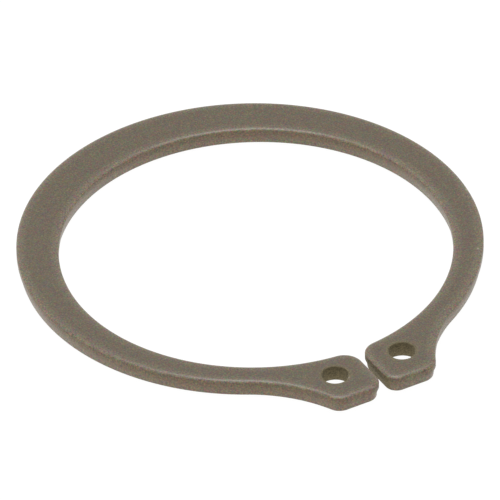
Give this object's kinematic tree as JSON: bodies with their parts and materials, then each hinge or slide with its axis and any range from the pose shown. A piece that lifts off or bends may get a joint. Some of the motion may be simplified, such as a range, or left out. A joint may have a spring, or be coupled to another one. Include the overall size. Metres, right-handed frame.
{
  "type": "external retaining ring",
  "caption": "Flat spring steel ring with a gap and two pierced lugs, which snaps into a groove round a shaft and keeps parts from sliding off it.",
  "frame": {"origin": "centre of the bore, at the middle of the ring's thickness", "axes": "+Z along the shaft's axis towards the face with the rounded edges; the gap and the lugs face -Y"},
  "size_m": [0.0432, 0.0469, 0.0018],
  "materials": {
    "spring_steel": "matt phosphate coat, taupe grey-brown"
  },
  "bodies": {
    "root": {"retaining_ring": "spring_steel"}
  },
  "joints": []
}
